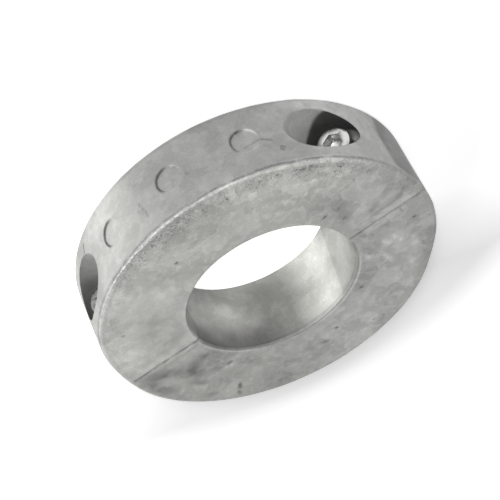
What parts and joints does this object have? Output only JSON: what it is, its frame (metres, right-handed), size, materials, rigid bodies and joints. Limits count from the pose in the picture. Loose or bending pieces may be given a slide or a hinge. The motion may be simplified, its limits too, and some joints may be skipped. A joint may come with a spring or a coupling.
{
  "type": "clamp-on collar anode",
  "caption": "Two-piece cast zinc collar anode that clamps round a propeller shaft, with socket head screws in round pockets and hexagonal nuts.",
  "frame": {"origin": "on the bore's axis, at the back face that the collar lies on", "axes": "+Z along the bore, away from that face; the halves meet on the plane Y = 0, and the screw heads are on the +Y side"},
  "size_m": [0.1016, 0.1016, 0.0238],
  "materials": {
    "cast_zinc": "as cast, satin, lightly mottled",
    "stainless_steel": "turned, semi-gloss"
  },
  "bodies": {
    "root": {"screw_side_half": "cast_zinc", "nut_side_half": "cast_zinc", "cap_screw_right": "stainless_steel", "cap_screw_left": "stainless_steel", "hex_nut_right": "stainless_steel", "hex_nut_left": "stainless_steel"}
  },
  "joints": []
}
